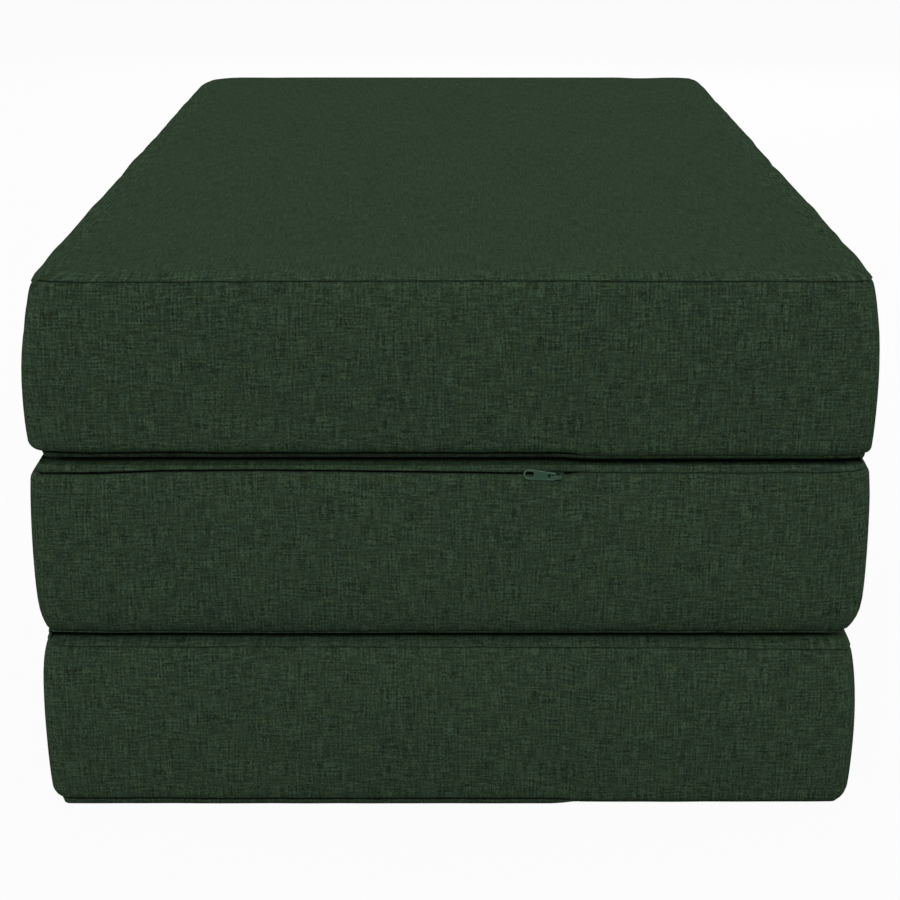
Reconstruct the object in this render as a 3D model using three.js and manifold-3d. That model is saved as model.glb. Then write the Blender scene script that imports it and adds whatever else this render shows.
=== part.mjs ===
// Folding foam bed of three covered panels, shown folded into a stack. Millimetres, +Z up.
// X runs across the panels and Y along them. The stack stands on z = 0, and the end with the
// middle panel's zip slider faces -Y. The bottom and top panels lie face up and the middle one
// face down, because the fold between bottom and middle is at their faces on the left, and the
// fold between middle and top is at their undersides on the right.

import * as THREE from 'three';
import { mergeVertices } from 'three/addons/utils/BufferGeometryUtils.js';
import Module from 'manifold-3d';

// Panel
const PANEL_WIDTH = 660;
const PANEL_LENGTH = 965;
const PANEL_THICKNESS = 152;
const CORNER_RADIUS = 15;
const LEAST_CORNER_RADIUS = 1;
const WALL_SWELL = 4;
const FABRIC = 1.2;
const FIT_GAP = 0.3;

// Edge at the face: the seam lies below the face, and the face cloth rolls over to it
const FACE_SEAM_DROP = 5;
const FACE_SEAM_INSET = 3;
const FACE_ROLL = 5;
const CROWN_RISE = 1.6;
const CROWN_REACH = 60;

// Edge at the underside: an upright rim, the zip's slot, and the side band's roll above it
const RIM_INSET = 5.5;
const RIM_HEIGHT = 8.2;
const RIM_FILLET = 2;
const ZIP_SLOT = 2;

// Zip
const TAPE_THICKNESS = 0.6;
const CHAIN_WIDTH = 4.6;
const CHAIN_THICKNESS = 1.6;
const CHAIN_CLEARANCE = 0.25;
const ZIP_PARK_X = 82.6;
const ZIP_SLOT_PAST_SLIDER = 4;
const ZIP_SLOT_TAPER = 8;

// Slider
const SLIDER_LENGTH = 14;
const SLIDER_TAIL_WIDTH = 7;
const SLIDER_SHOULDER_WIDTH = 8;
const SLIDER_PLATE = 1;
const SLIDER_FLANGE = 0.7;
const SLIDER_NOTCH = 1.2;
const DIAMOND_LENGTH = 5.4;
const DIAMOND_WIDTH = 2.2;
const DIAMOND_FROM_NOTCH = 0.6;
const BRIDGE_LENGTH = 8.8;
const BRIDGE_THICKNESS = 1.4;
const BRIDGE_WALL = 1.1;
const BRIDGE_ROUND = 1;
const BRIDGE_NOSE = 2.4;
const BRIDGE_HEAD_WIDTH = 2.4;
const BRIDGE_HEAD_DEPTH = 3.2;

// Pull
const PULL_LENGTH = 25.4;
const PULL_EYE_END_WIDTH = 6.2;
const PULL_WIDTH = 8.6;
const PULL_THICKNESS = 1.2;
const PULL_BAR = 1.2;
const PULL_EYE_LENGTH = 5.6;
const PULL_EYE_WIDTH = 4;
const PULL_WINDOW_LENGTH = 7.2;
const PULL_WINDOW_WIDTH = 5.2;
const PULL_RIM = 1.2;
const PULL_BEVEL = 0.2;
const PULL_SETBACK = 0.7;
const PULL_TILT_DEGREES = 6;

// Fold leaves, sewn to the panels and meeting at the fold line
const LEAF_TIP_GAP = 0.25;
const LEAF_END_MARGIN = 12;

// Rows of a wall and points of a ring, as shares of the wall's height and of the side's half
const WALL_ROW_shares = [0.15, 0.35, 0.6, 0.85, 1];
const LONG_SIDE_shares = [-0.8, -0.4, 0, 0.4, 0.8];
const SHORT_SIDE_shares = [-0.6, -0.2];
const SHORT_SIDE_FAR_share = 0.66;
const CORNER_HOLD_share = 0.45;
const CROWN_ROW_shares = [0.5, 1];
const SEAM_DRAW_POWER = 5;
const CORNER_STEPS = 3;
const ROLL_STEPS = 2;

// Colours
const CLOTH_GREEN = 0x2f3d2e;
const FOAM_CREAM = 0xe4dcc4;
const TAPE_GREEN = 0x253326;
const METAL_GREEN = 0x465f50;

// Levels worked out from the sizes above: heights above a panel's underside, and offsets
// from the panel's nominal wall, outward positive
const QUARTER = Math.PI / 2;
const SLOT_TOP = RIM_HEIGHT + ZIP_SLOT;
const ZIP_HEIGHT = RIM_HEIGHT + ZIP_SLOT / 2;
const ROLL_TOP = SLOT_TOP + RIM_INSET;
const FACE_SEAM_HEIGHT = PANEL_THICKNESS - FACE_SEAM_DROP;
const LINING = FABRIC + FIT_GAP;
const PLATE_OUTER = -RIM_INSET - FABRIC - FIT_GAP;
const CHANNEL = CHAIN_THICKNESS + 2 * CHAIN_CLEARANCE;
const CHAIN_PLANE = PLATE_OUTER - SLIDER_PLATE - CHANNEL / 2;
const PLATE_INNER = PLATE_OUTER - 2 * SLIDER_PLATE - CHANNEL;
const FOAM_RELIEF = -PLATE_INNER + FIT_GAP;
const SLIDER_TOP = ZIP_HEIGHT + SLIDER_SHOULDER_WIDTH / 2;
const PANEL_PITCH = PANEL_THICKNESS + FIT_GAP;
const FOLD_OFFSET = WALL_SWELL + FIT_GAP / 2;
const SLIDER_FRONT = SLIDER_LENGTH / 2;
const SLOT_END_X = ZIP_PARK_X + SLIDER_FRONT + ZIP_SLOT_PAST_SLIDER;

const wasm = await Module();
wasm.setup();

// Closed meshes

function closedGeometry(points, triangles) {
  const geometry = new THREE.BufferGeometry();
  geometry.setAttribute('position', new THREE.Float32BufferAttribute(points.flat(), 3));
  const turned = signedVolume(points, triangles) < 0;
  const index = triangles.flatMap(([a, b, c]) => (turned ? [a, c, b] : [a, b, c]));
  geometry.setIndex(index);
  geometry.computeVertexNormals();
  return geometry;
}

function signedVolume(points, triangles) {
  let six = 0;
  for (const [a, b, c] of triangles) {
    const [p, q, r] = [points[a], points[b], points[c]].map((v) => new THREE.Vector3(...v));
    six += p.dot(q.cross(r));
  }
  return six / 6;
}

// Joins rings of equal count into one skin. A chain of rings is closed at both ends by fans
// to the middle of its end rings, and a loop of rings by joining its last ring to its first.
// Each face is split from its lower left to its upper right corner, whichever way the rings
// run, so that nested skins bend alike and keep their gap.
function loft(rings, looped) {
  const count = rings[0].length;
  const points = rings.flat();
  const triangles = [];
  const pairs = looped ? rings.length : rings.length - 1;
  for (let row = 0; row < pairs; row += 1) {
    const far = (row + 1) % rings.length;
    const rising = meanHeight(rings[far]) >= meanHeight(rings[row]);
    for (let i = 0; i < count; i += 1) {
      const next = (i + 1) % count;
      const [a, b] = [row * count + i, row * count + next];
      const [c, d] = [far * count + i, far * count + next];
      triangles.push(...(rising ? [[a, b, d], [a, d, c]] : [[a, b, c], [b, d, c]]));
    }
  }
  if (!looped) {
    const last = (rings.length - 1) * count;
    const start = points.push(middleOf(rings[0])) - 1;
    const end = points.push(middleOf(rings[rings.length - 1])) - 1;
    for (let i = 0; i < count; i += 1) {
      const next = (i + 1) % count;
      triangles.push([start, next, i], [end, last + i, last + next]);
    }
  }
  return closedGeometry(points, triangles);
}

function meanHeight(ring) {
  return ring.reduce((sum, point) => sum + point[2], 0) / ring.length;
}

function middleOf(ring) {
  const box = new THREE.Box3().setFromPoints(ring.map((p) => new THREE.Vector3(...p)));
  return box.getCenter(new THREE.Vector3()).toArray();
}

// Sweeps a closed section of [offset, height] pairs along open stations, with flat ends
function sweep(section, stations) {
  const flat = section.map(([offset, height]) => new THREE.Vector2(offset, height));
  if (THREE.ShapeUtils.isClockWise(flat)) {
    flat.reverse();
  }
  const count = flat.length;
  const points = stations.flatMap((station) => flat.map(({ x, y }) => [...station.at(x), y]));
  const triangles = [];
  for (let row = 0; row + 1 < stations.length; row += 1) {
    for (let i = 0; i < count; i += 1) {
      const next = (i + 1) % count;
      const [a, b] = [row * count + i, row * count + next];
      triangles.push([a, b, b + count], [a, b + count, a + count]);
    }
  }
  const last = (stations.length - 1) * count;
  for (const [a, b, c] of THREE.ShapeUtils.triangulateShape(flat, [])) {
    triangles.push([c, b, a], [last + a, last + b, last + c]);
  }
  return closedGeometry(points, triangles);
}

// Panel outline: stations on the rounded rectangle, each of which gives its point at any
// offset from the nominal wall. zipSide is -1 or 1, the panel side that the zip goes round.

function straightStation(x, y, normalX, normalY, halfLength, zipped) {
  const along = Math.abs(normalX ? y : x) / halfLength;
  return {
    at: (offset) => [x + normalX * offset, y + normalY * offset],
    swell: 1 - CORNER_HOLD_share * along ** 3,
    zipped,
  };
}

function cornerStation(signX, signY, angle, zipped) {
  return {
    at: (offset) => {
      const radius = Math.max(LEAST_CORNER_RADIUS, CORNER_RADIUS + offset);
      const x = signX * (PANEL_WIDTH / 2 + offset - radius) + radius * Math.cos(angle);
      const y = signY * (PANEL_LENGTH / 2 + offset - radius) + radius * Math.sin(angle);
      return [x, y];
    },
    swell: 1 - CORNER_HOLD_share,
    zipped,
  };
}

function cornerStations(signX, signY, firstAngle, zipped) {
  const stations = [];
  for (let step = 0; step <= CORNER_STEPS; step += 1) {
    const angle = firstAngle + (QUARTER * step) / CORNER_STEPS;
    stations.push(cornerStation(signX, signY, angle, zipped));
  }
  return stations;
}

function outline(zipSide) {
  const halfX = PANEL_WIDTH / 2;
  const halfY = PANEL_LENGTH / 2;
  const spanX = halfX - CORNER_RADIUS;
  const spanY = halfY - CORNER_RADIUS;
  const zippedX = (x) => (-zipSide * x < SLOT_END_X + ZIP_SLOT_TAPER / 2 ? 1 : 0);
  const shortXs = [
    ...SHORT_SIDE_shares.map((share) => share * spanX),
    SLOT_END_X,
    SLOT_END_X + ZIP_SLOT_TAPER,
    SHORT_SIDE_FAR_share * spanX,
  ].map((x) => -zipSide * x);
  shortXs.sort((a, b) => a - b);
  const longYs = LONG_SIDE_shares.map((share) => share * spanY);
  const onZipSide = (sign) => (sign === zipSide ? 1 : 0);
  const shortSide = (x, sign) => straightStation(x, sign * halfY, 0, sign, spanX, zippedX(x));
  const longSide = (y, sign) => straightStation(sign * halfX, y, sign, 0, spanY, onZipSide(sign));
  return [
    ...shortXs.map((x) => shortSide(x, -1)),
    ...cornerStations(1, -1, -QUARTER, onZipSide(1)),
    ...longYs.map((y) => longSide(y, 1)),
    ...cornerStations(1, 1, 0, onZipSide(1)),
    ...shortXs.toReversed().map((x) => shortSide(x, 1)),
    ...cornerStations(-1, 1, QUARTER, onZipSide(-1)),
    ...longYs.toReversed().map((y) => longSide(y, -1)),
    ...cornerStations(-1, -1, 2 * QUARTER, onZipSide(-1)),
  ];
}

// One ring of a panel. swell is the wall's share of the full swell at this height, and
// closing is how much of the slot closes here away from the zip.
function ring(stations, { offset, height, swell = 0, closing = 0 }) {
  return stations.map((station) => [
    ...station.at(offset + WALL_SWELL * swell * station.swell),
    height - closing * (1 - station.zipped) * (ZIP_SLOT - FIT_GAP),
  ]);
}

// Rows of the wall, for a skin that lies depth inside the cover's outer surface

function wallRows(depth) {
  const top = FACE_SEAM_HEIGHT - FIT_GAP;
  return WALL_ROW_shares.map((share) => ({
    offset: -FACE_SEAM_INSET * share ** SEAM_DRAW_POWER - depth,
    height: THREE.MathUtils.lerp(ROLL_TOP, top, share),
    swell: Math.sin(Math.PI * share),
  }));
}

function bandRollRows(depth) {
  const radius = RIM_INSET - depth;
  const rows = [];
  for (let step = 0; step <= ROLL_STEPS; step += 1) {
    const angle = (QUARTER * step) / ROLL_STEPS;
    rows.push({
      offset: -RIM_INSET + radius * Math.sin(angle),
      height: ROLL_TOP - radius * Math.cos(angle),
      closing: 1 - step / ROLL_STEPS,
    });
  }
  return rows;
}

function faceRows(depth) {
  const acrossRoll = FACE_ROLL - depth;
  const upRoll = FACE_SEAM_DROP - CROWN_RISE - depth;
  const rows = [];
  for (let step = 0; step <= ROLL_STEPS; step += 1) {
    const angle = (QUARTER * step) / ROLL_STEPS;
    rows.push({
      offset: -FACE_SEAM_INSET - FACE_ROLL + acrossRoll * Math.cos(angle),
      height: FACE_SEAM_HEIGHT + upRoll * Math.sin(angle),
    });
  }
  for (const share of CROWN_ROW_shares) {
    rows.push({
      offset: -FACE_SEAM_INSET - FACE_ROLL - CROWN_REACH * share,
      height: PANEL_THICKNESS - CROWN_RISE + CROWN_RISE * Math.sin(QUARTER * share) - depth,
    });
  }
  return rows;
}

// Soft pieces of a panel

function faceSheet(stations) {
  const rows = [...faceRows(FABRIC).toReversed(), ...faceRows(0)];
  return loft(rows.map((row) => ring(stations, row)), false);
}

function sideBand(stations) {
  const lip = -RIM_INSET - FABRIC;
  const rows = [
    { offset: lip, height: SLOT_TOP, closing: 1 },
    ...bandRollRows(0),
    ...wallRows(0),
    ...wallRows(FABRIC).toReversed(),
    ...bandRollRows(FABRIC).toReversed(),
    { offset: lip, height: SLOT_TOP + FABRIC, closing: 1 },
  ];
  return loft(rows.map((row) => ring(stations, row)), true);
}

function baseSheet(stations) {
  const filletMiddle = RIM_FILLET * (1 - Math.SQRT1_2);
  const rows = [
    { offset: -RIM_INSET - FABRIC, height: FABRIC },
    { offset: -RIM_INSET - FABRIC, height: RIM_HEIGHT },
    { offset: -RIM_INSET, height: RIM_HEIGHT },
    { offset: -RIM_INSET, height: RIM_FILLET },
    { offset: -RIM_INSET - filletMiddle, height: filletMiddle },
    { offset: -RIM_INSET - RIM_FILLET, height: 0 },
  ];
  return loft(rows.map((row) => ring(stations, row)), false);
}

// The foam is relieved along its lower edge, where the zip and its slider lie behind the cover
function foamCore(stations) {
  const shoulder = SLIDER_TOP + 4 * FIT_GAP;
  const rows = [
    { offset: -FOAM_RELIEF, height: LINING },
    { offset: -FOAM_RELIEF, height: shoulder },
    { offset: -LINING, height: ROLL_TOP + 2 * FIT_GAP },
    ...wallRows(LINING),
    ...faceRows(LINING).slice(1),
  ];
  return loft(rows.map((row) => ring(stations, row)), false);
}

// Zip: two tapes with the closed chain between them, in the slot round three sides

function zipStations(zipSide) {
  const halfX = PANEL_WIDTH / 2;
  const halfY = PANEL_LENGTH / 2;
  const endX = -zipSide * (ZIP_PARK_X - CHAIN_CLEARANCE - diamondTail());
  const sideX = zipSide * halfX;
  const corner = (signY, from, turn) => {
    const stations = [];
    for (let step = 0; step <= CORNER_STEPS; step += 1) {
      const angle = from + (turn * QUARTER * step) / CORNER_STEPS;
      stations.push(cornerStation(zipSide, signY, angle, 1));
    }
    return stations;
  };
  return [
    straightStation(endX, -halfY, 0, -1, halfX, 1),
    ...corner(-1, -QUARTER, zipSide),
    straightStation(sideX, 0, zipSide, 0, halfY, 1),
    ...corner(1, zipSide > 0 ? 0 : 2 * QUARTER, zipSide),
    straightStation(endX, halfY, 0, 1, halfX, 1),
  ];
}

function zipSection() {
  const tapeOut = CHAIN_PLANE + TAPE_THICKNESS / 2;
  const tapeIn = CHAIN_PLANE - TAPE_THICKNESS / 2;
  const chainOut = CHAIN_PLANE + CHAIN_THICKNESS / 2;
  const chainIn = CHAIN_PLANE - CHAIN_THICKNESS / 2;
  const chainLow = ZIP_HEIGHT - CHAIN_WIDTH / 2;
  const chainHigh = ZIP_HEIGHT + CHAIN_WIDTH / 2;
  const bend = SLIDER_TOP + FIT_GAP;
  const endHeight = ROLL_TOP - TAPE_THICKNESS;
  const endOffset = bandInsideAt(endHeight - TAPE_THICKNESS) - FIT_GAP;
  return [
    [tapeOut, LINING],
    [tapeOut, chainLow],
    [chainOut, chainLow],
    [chainOut, chainHigh],
    [tapeOut, chainHigh],
    [tapeOut, bend],
    [endOffset, endHeight - TAPE_THICKNESS],
    [endOffset, endHeight],
    [tapeIn, bend + TAPE_THICKNESS],
    [tapeIn, chainHigh],
    [chainIn, chainHigh],
    [chainIn, chainLow],
    [tapeIn, chainLow],
    [tapeIn, LINING],
  ];
}

// The inner face of the side band's roll, between its rows
function bandInsideAt(height) {
  const rows = bandRollRows(FABRIC);
  const above = rows.findIndex((row) => row.height >= height);
  const [low, high] = [rows[above - 1], rows[above]];
  const share = (height - low.height) / (high.height - low.height);
  return THREE.MathUtils.lerp(low.offset, high.offset, share);
}

function zipChain(zipSide) {
  return sweep(zipSection(), zipStations(zipSide));
}

// Solids joined and cut

function manifoldOf(geometry) {
  const bare = geometry.index ? geometry.toNonIndexed() : geometry.clone();
  bare.deleteAttribute('normal');
  bare.deleteAttribute('uv');
  const merged = mergeVertices(bare);
  return new wasm.Manifold(
    new wasm.Mesh({
      numProp: 3,
      vertProperties: merged.attributes.position.array,
      triVerts: new Uint32Array(merged.index.array),
    }),
  );
}

function geometryOf(manifold) {
  const mesh = manifold.getMesh();
  const geometry = new THREE.BufferGeometry();
  geometry.setAttribute('position', new THREE.BufferAttribute(mesh.vertProperties, 3));
  geometry.setIndex(new THREE.BufferAttribute(mesh.triVerts, 1));
  geometry.computeVertexNormals();
  return geometry;
}

// Slider and pull, drawn with x along the zip, y across it and z out of the wall. The zip's
// tail is towards -x, and z = 0 is the panel's nominal wall.

function upright(shape, low, high) {
  const options = { depth: high - low, bevelEnabled: false, curveSegments: 4 };
  return new THREE.ExtrudeGeometry(shape, options).translate(0, 0, low);
}

function sliderOutline(inset) {
  const tail = -SLIDER_LENGTH / 2;
  const mouth = SLIDER_LENGTH / 2;
  const tailHalf = SLIDER_TAIL_WIDTH / 2 - inset;
  const shoulderHalf = SLIDER_SHOULDER_WIDTH / 2 - inset;
  const round = SLIDER_TAIL_WIDTH / 6;
  const waist = SLIDER_LENGTH / 8;
  const shape = new THREE.Shape();
  shape.moveTo(tail, -tailHalf + round);
  shape.quadraticCurveTo(tail, -tailHalf, tail + round, -tailHalf);
  shape.lineTo(-waist, -tailHalf);
  shape.bezierCurveTo(0, -tailHalf, waist, -shoulderHalf, 2 * waist, -shoulderHalf);
  shape.quadraticCurveTo(mouth, -shoulderHalf, mouth, -shoulderHalf / 2);
  shape.lineTo(mouth - SLIDER_NOTCH, 0);
  shape.lineTo(mouth, shoulderHalf / 2);
  shape.quadraticCurveTo(mouth, shoulderHalf, 2 * waist, shoulderHalf);
  shape.bezierCurveTo(waist, shoulderHalf, 0, tailHalf, -waist, tailHalf);
  shape.lineTo(tail + round, tailHalf);
  shape.quadraticCurveTo(tail, tailHalf, tail, tailHalf - round);
  shape.closePath();
  return shape;
}

function diamondTail() {
  return DIAMOND_LENGTH + DIAMOND_FROM_NOTCH + SLIDER_NOTCH - SLIDER_LENGTH / 2;
}

function diamondOutline() {
  const front = SLIDER_LENGTH / 2 - SLIDER_NOTCH - DIAMOND_FROM_NOTCH;
  const back = front - DIAMOND_LENGTH;
  const widest = front - DIAMOND_LENGTH / 3;
  const shape = new THREE.Shape();
  shape.moveTo(back, 0);
  shape.lineTo(widest, -DIAMOND_WIDTH / 2);
  shape.lineTo(front, -DIAMOND_WIDTH / 4);
  shape.lineTo(front, DIAMOND_WIDTH / 4);
  shape.lineTo(widest, DIAMOND_WIDTH / 2);
  shape.closePath();
  return shape;
}

// The flanges are the rims of the two plates, turned towards each other, with the tape's
// gap between them. The chain's channel inside them is open at the tail and at the mouth.
function flangeRing(low, high) {
  const channel = sliderOutline(SLIDER_FLANGE);
  const overrun = SLIDER_LENGTH;
  const outer = manifoldOf(upright(sliderOutline(0), low, high));
  const inner = manifoldOf(upright(channel, low - overrun, high + overrun));
  const openEnds = new THREE.BoxGeometry(
    2 * overrun,
    SLIDER_TAIL_WIDTH - 2 * SLIDER_FLANGE,
    2 * overrun,
  );
  return outer.subtract(inner).subtract(manifoldOf(openEnds));
}

function barLevel() {
  const reach = Math.min(ROLL_TOP, ZIP_HEIGHT + PULL_WIDTH / 2);
  const drop = ROLL_TOP - reach;
  const roll = -RIM_INSET + Math.sqrt(RIM_INSET ** 2 - drop ** 2);
  return roll + FIT_GAP + PULL_THICKNESS / 2;
}

// The bridge's tail leg is upright, and its other leg slopes forward to the slider's nose
function bridgeOutline(foot) {
  const half = BRIDGE_LENGTH / 2;
  const plate = PLATE_OUTER - SLIDER_PLATE / 2;
  const under = barLevel() + PULL_BAR;
  const top = under + BRIDGE_WALL;
  const noseAt = (level) => half + (BRIDGE_NOSE * (top - level)) / (top - plate);
  const shape = new THREE.Shape();
  shape.moveTo(-half, foot);
  shape.lineTo(-half, top - BRIDGE_ROUND);
  shape.quadraticCurveTo(-half, top, -half + BRIDGE_ROUND, top);
  shape.lineTo(half - BRIDGE_ROUND, top);
  shape.quadraticCurveTo(half, top, noseAt(top - BRIDGE_ROUND), top - BRIDGE_ROUND);
  shape.lineTo(noseAt(foot), foot);
  shape.lineTo(half - BRIDGE_WALL, foot);
  shape.lineTo(half - BRIDGE_WALL, under);
  shape.lineTo(-half + BRIDGE_WALL, under);
  shape.lineTo(-half + BRIDGE_WALL, foot);
  shape.closePath();
  return shape;
}

function slider() {
  const channelTop = PLATE_OUTER - SLIDER_PLATE;
  const channelLow = PLATE_INNER + SLIDER_PLATE;
  const tapeGap = TAPE_THICKNESS + 2 * FIT_GAP;
  const overlap = SLIDER_PLATE / 4;
  const outerPlate = manifoldOf(upright(sliderOutline(0), channelTop, PLATE_OUTER));
  const innerPlate = manifoldOf(upright(sliderOutline(0), PLATE_INNER, channelLow));
  const outerFlange = flangeRing(CHAIN_PLANE + tapeGap / 2, channelTop + overlap);
  const innerFlange = flangeRing(channelLow - overlap, CHAIN_PLANE - tapeGap / 2);
  const diamond = manifoldOf(
    upright(diamondOutline(), channelLow - overlap, channelTop + overlap),
  );
  // The legs are narrow where they pass the slot, and wider outside the cover
  const blade = (foot, width) =>
    manifoldOf(upright(bridgeOutline(foot), -width / 2, width / 2).rotateX(QUARTER));
  return geometryOf(
    outerPlate
      .add(innerPlate)
      .add(outerFlange)
      .add(innerFlange)
      .add(diamond)
      .add(blade(PLATE_OUTER - SLIDER_PLATE / 2, BRIDGE_THICKNESS))
      .add(blade(-BRIDGE_HEAD_DEPTH, BRIDGE_HEAD_WIDTH)),
  );
}

function roundedHole(from, to, halfWidth, radius) {
  const hole = new THREE.Path();
  hole.moveTo(from + radius, -halfWidth);
  hole.lineTo(to - radius, -halfWidth);
  hole.absarc(to - radius, -halfWidth + radius, radius, -QUARTER, 0, false);
  hole.lineTo(to, halfWidth - radius);
  hole.absarc(to - radius, halfWidth - radius, radius, 0, QUARTER, false);
  hole.lineTo(from + radius, halfWidth);
  hole.absarc(from + radius, halfWidth - radius, radius, QUARTER, 2 * QUARTER, false);
  hole.lineTo(from, -halfWidth + radius);
  hole.absarc(from + radius, -halfWidth + radius, radius, 2 * QUARTER, 3 * QUARTER, false);
  return hole;
}

// The pull tapers from its eye, which hangs on the bridge with its end bar below the arch,
// to a wide round end with an oval window. Its origin is the middle of the end bar.
function pull() {
  const eyeEnd = PULL_BAR / 2;
  const farEnd = eyeEnd - PULL_LENGTH;
  const eyeHalf = PULL_EYE_END_WIDTH / 2;
  const farHalf = PULL_WIDTH / 2;
  const shape = new THREE.Shape();
  shape.moveTo(eyeEnd, -eyeHalf + PULL_RIM);
  shape.lineTo(eyeEnd, eyeHalf - PULL_RIM);
  shape.quadraticCurveTo(eyeEnd, eyeHalf, eyeEnd - PULL_RIM, eyeHalf);
  shape.lineTo(farEnd + farHalf, farHalf);
  shape.absarc(farEnd + farHalf, 0, farHalf, QUARTER, 3 * QUARTER, false);
  shape.lineTo(eyeEnd - PULL_RIM, -eyeHalf);
  shape.quadraticCurveTo(eyeEnd, -eyeHalf, eyeEnd, -eyeHalf + PULL_RIM);
  const eyeFrom = -PULL_BAR / 2 - PULL_EYE_LENGTH;
  const windowFrom = farEnd + PULL_RIM;
  shape.holes.push(
    roundedHole(eyeFrom, -PULL_BAR / 2, PULL_EYE_WIDTH / 2, PULL_RIM / 2),
    roundedHole(
      windowFrom,
      windowFrom + PULL_WINDOW_LENGTH,
      PULL_WINDOW_WIDTH / 2,
      PULL_WINDOW_WIDTH / 2 - PULL_BEVEL,
    ),
  );
  const flat = PULL_THICKNESS - 2 * PULL_BEVEL;
  return new THREE.ExtrudeGeometry(shape, {
    depth: flat,
    bevelEnabled: true,
    bevelThickness: PULL_BEVEL,
    bevelSize: PULL_BEVEL,
    bevelOffset: -PULL_BEVEL,
    bevelSegments: 1,
    curveSegments: 5,
  }).translate(0, 0, -flat / 2);
}

// A fold leaf at a panel's face or underside edge, on the panel side given by side. Its
// section runs from 0.3 mm off the cover's edge out to the fold line.
function foldLeaf(side, atFace) {
  const tip = FOLD_OFFSET - LEAF_TIP_GAP;
  const root = atFace ? -FACE_SEAM_INSET + 2 * FIT_GAP : -RIM_INSET + FIT_GAP;
  const rootDrop = atFace ? FACE_SEAM_DROP : RIM_HEIGHT - FABRIC - FIT_GAP;
  const level = (drop) => (atFace ? PANEL_THICKNESS - drop : drop);
  const section = [
    [root, level(rootDrop)],
    [tip, level(0)],
    [tip, level(FABRIC)],
    [root, level(rootDrop + FABRIC)],
  ];
  const end = PANEL_LENGTH / 2 - CORNER_RADIUS - LEAF_END_MARGIN;
  const stations = [-end, end].map((y) =>
    straightStation((side * PANEL_WIDTH) / 2, y, side, 0, end, 1),
  );
  return sweep(section, stations);
}

// Assembly

function named(name, geometry, color, roughness, metalness) {
  const material = new THREE.MeshStandardMaterial({ color, roughness, metalness });
  const mesh = new THREE.Mesh(geometry, material);
  mesh.name = name;
  return mesh;
}

const cloth = (name, geometry) => named(name, geometry, CLOTH_GREEN, 0.95, 0);

function panel(name, zipSide, leaves) {
  const group = new THREE.Group();
  const stations = outline(zipSide);
  group.add(
    named(`${name}_foam_core`, foamCore(stations), FOAM_CREAM, 1, 0),
    cloth(`${name}_face_sheet`, faceSheet(stations)),
    cloth(`${name}_side_band`, sideBand(stations)),
    cloth(`${name}_base_sheet`, baseSheet(stations)),
    named(`${name}_zip_chain`, zipChain(zipSide), TAPE_GREEN, 0.8, 0),
    ...leaves.map((leaf) => cloth(leaf.name, foldLeaf(leaf.side, leaf.atFace))),
  );
  return group;
}

// A slider with its pull on the front wall, or turned over onto the rear wall. The pull lies a
// little askew, with its far end towards the rim.
function zipHardware(name, height, onRear) {
  const group = new THREE.Group();
  const metal = (piece, geometry) => named(`${name}_zip_${piece}`, geometry, METAL_GREEN, 0.45, 0.3);
  const body = metal('slider', slider());
  const tab = metal('pull', pull());
  tab.position.set(-PULL_SETBACK, 0, barLevel());
  tab.rotation.z = THREE.MathUtils.degToRad(-PULL_TILT_DEGREES);
  const wall = new THREE.Group();
  wall.add(body, tab);
  wall.rotation.x = onRear ? -QUARTER : QUARTER;
  wall.position.set(ZIP_PARK_X, ((onRear ? 1 : -1) * PANEL_LENGTH) / 2, height);
  group.add(wall);
  return group;
}

const bottomPanel = panel('bottom', -1, [
  { name: 'lower_fold_leaf_bottom', side: -1, atFace: true },
]);

const middlePanel = panel('middle', 1, [
  { name: 'lower_fold_leaf_middle', side: 1, atFace: true },
  { name: 'upper_fold_leaf_middle', side: -1, atFace: false },
]);
middlePanel.rotation.y = Math.PI;
middlePanel.position.z = PANEL_PITCH + PANEL_THICKNESS;

const topPanel = panel('top', -1, [{ name: 'upper_fold_leaf_top', side: 1, atFace: false }]);
topPanel.position.z = 2 * PANEL_PITCH;

const bed = new THREE.Group();
bed.add(
  bottomPanel,
  middlePanel,
  topPanel,
  zipHardware('bottom', ZIP_HEIGHT, true),
  zipHardware('middle', middlePanel.position.z - ZIP_HEIGHT, false),
  zipHardware('top', topPanel.position.z + ZIP_HEIGHT, true),
);

export default bed;
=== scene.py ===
"""Looks of the tri-fold foam bed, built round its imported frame. Metres, +Z up."""

import math

import bmesh
import bpy
import numpy as np
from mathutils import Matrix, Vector, kdtree, noise


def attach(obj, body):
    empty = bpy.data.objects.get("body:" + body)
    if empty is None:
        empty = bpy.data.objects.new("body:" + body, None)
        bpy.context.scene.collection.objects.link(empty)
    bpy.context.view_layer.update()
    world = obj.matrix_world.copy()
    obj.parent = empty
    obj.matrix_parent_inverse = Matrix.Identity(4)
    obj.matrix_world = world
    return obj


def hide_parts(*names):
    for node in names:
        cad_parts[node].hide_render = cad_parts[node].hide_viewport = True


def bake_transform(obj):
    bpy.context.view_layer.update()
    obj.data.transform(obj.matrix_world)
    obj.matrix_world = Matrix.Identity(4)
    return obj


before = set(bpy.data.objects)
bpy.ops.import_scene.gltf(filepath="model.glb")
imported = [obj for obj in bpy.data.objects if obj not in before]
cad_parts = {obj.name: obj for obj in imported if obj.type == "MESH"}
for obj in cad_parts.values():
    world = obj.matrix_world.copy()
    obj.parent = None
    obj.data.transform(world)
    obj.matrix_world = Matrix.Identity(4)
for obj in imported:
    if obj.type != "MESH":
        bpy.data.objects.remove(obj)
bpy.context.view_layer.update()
scene = bpy.context.scene

MM = 0.001

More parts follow.
